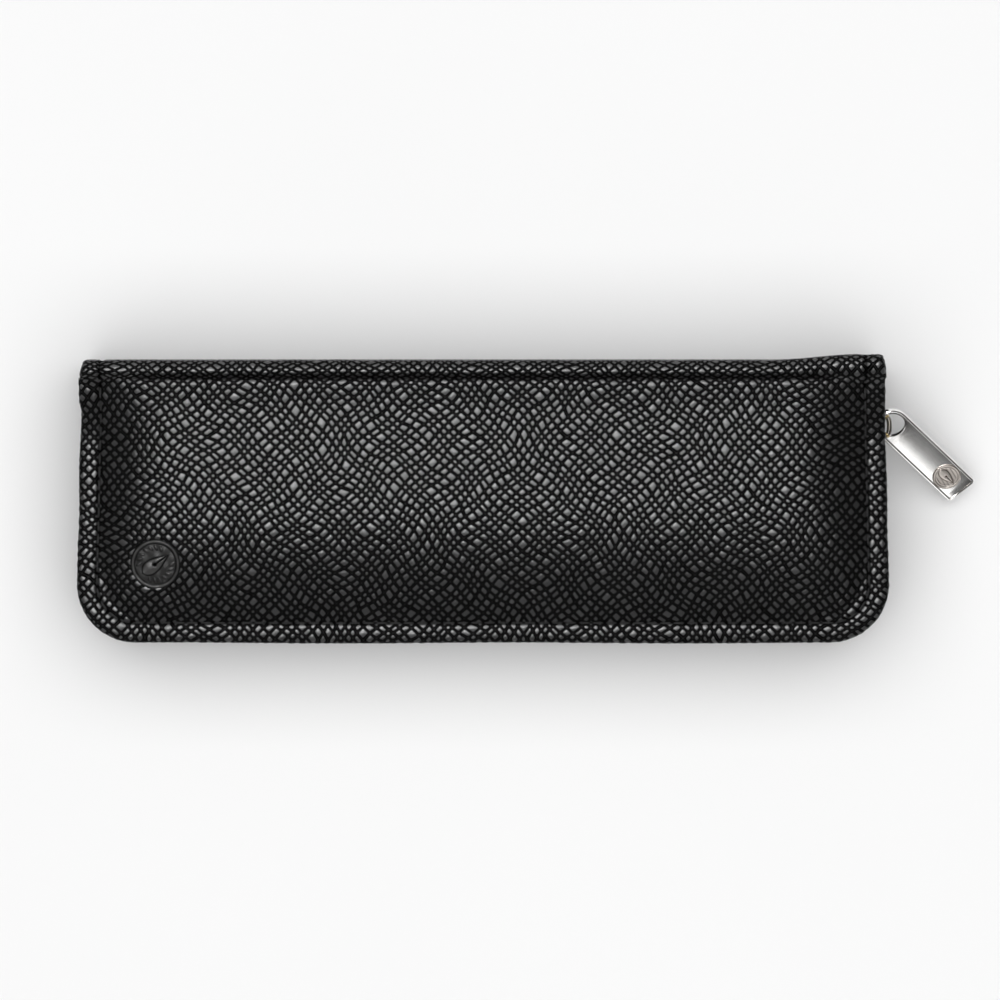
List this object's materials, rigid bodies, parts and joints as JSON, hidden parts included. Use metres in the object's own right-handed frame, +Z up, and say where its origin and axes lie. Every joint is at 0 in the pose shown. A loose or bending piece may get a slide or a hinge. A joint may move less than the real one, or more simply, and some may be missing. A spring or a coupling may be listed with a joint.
{
  "type": "fountain pen case",
  "caption": "Zip-around leather case with padded panels, a wide spine, pen loops inside and a flat metal zip puller, for carrying fountain pens.",
  "frame": {"origin": "on the surface that the case lies on, under the middle of the case's length and depth", "axes": "+X along the case towards the closed end of the zip, +Y from the free edge to the spine, +Z up from the back cover to the front cover"},
  "size_m": [0.1833, 0.0574, 0.025],
  "materials": {
    "cover_leather": "black, coarse pressed diamond grain, semi-gloss",
    "padding_foam": "dark grey soft foam",
    "stiffener_board": "matt pressed board",
    "lining_fabric": "black woven lining",
    "zip_tape": "black woven tape",
    "zip_metal": "antique brass teeth and stops",
    "slider_metal": "dark antique brass",
    "puller_metal": "polished nickel plate",
    "thread": "black waxed thread",
    "elastic": "black ribbed elastic"
  },
  "bodies": {
    "root": {"back_cover": "cover_leather", "back_padding": "padding_foam", "back_board": "stiffener_board", "back_lining": "lining_fabric", "back_topstitch": "thread", "back_zip_tape": "zip_tape", "back_zip_chain": "zip_metal", "back_top_stop": "zip_metal", "bottom_stop": "zip_metal", "upper_pen_loop_left": "elastic", "upper_pen_loop_right": "elastic", "lower_pen_loop_left": "elastic", "lower_pen_loop_right": "elastic"},
    "spine": {"spine_cover": "cover_leather", "spine_board": "stiffener_board", "spine_lining": "lining_fabric"},
    "front": {"front_cover": "cover_leather", "front_padding": "padding_foam", "front_board": "stiffener_board", "front_lining": "lining_fabric", "front_pocket": "lining_fabric", "front_topstitch": "thread", "front_zip_tape": "zip_tape", "front_zip_chain": "zip_metal", "front_top_stop": "zip_metal"},
    "slider": {"slider_body": "slider_metal", "slider_crown": "slider_metal"},
    "puller": {"puller": "puller_metal"}
  },
  "joints": [
    {"name": "spine_hinge", "type": "hinge", "parent": "root", "child": "spine", "pos_m": [0, 0.0272, 0.0015], "axis": [-1, 0, 0], "range_deg": [0, 90]},
    {"name": "front_hinge", "type": "hinge", "parent": "spine", "child": "front", "pos_m": [0, 0.0272, 0.0235], "axis": [-1, 0, 0], "range_deg": [0, 90]},
    {"name": "slider_slide", "type": "slide", "parent": "root", "child": "slider", "axis": [0, -1, 0], "range_m": [0, 0.0265]},
    {"name": "puller_swing", "type": "hinge", "parent": "slider", "child": "puller", "pos_m": [0.0835, 0.0159, 0.0125], "axis": [0.092, -0.5219, 0.848], "range_deg": [-18, 100]}
  ],
  "couplings": [
    {"joint": "front_hinge", "follows": "spine_hinge", "ratio": 1}
  ]
}
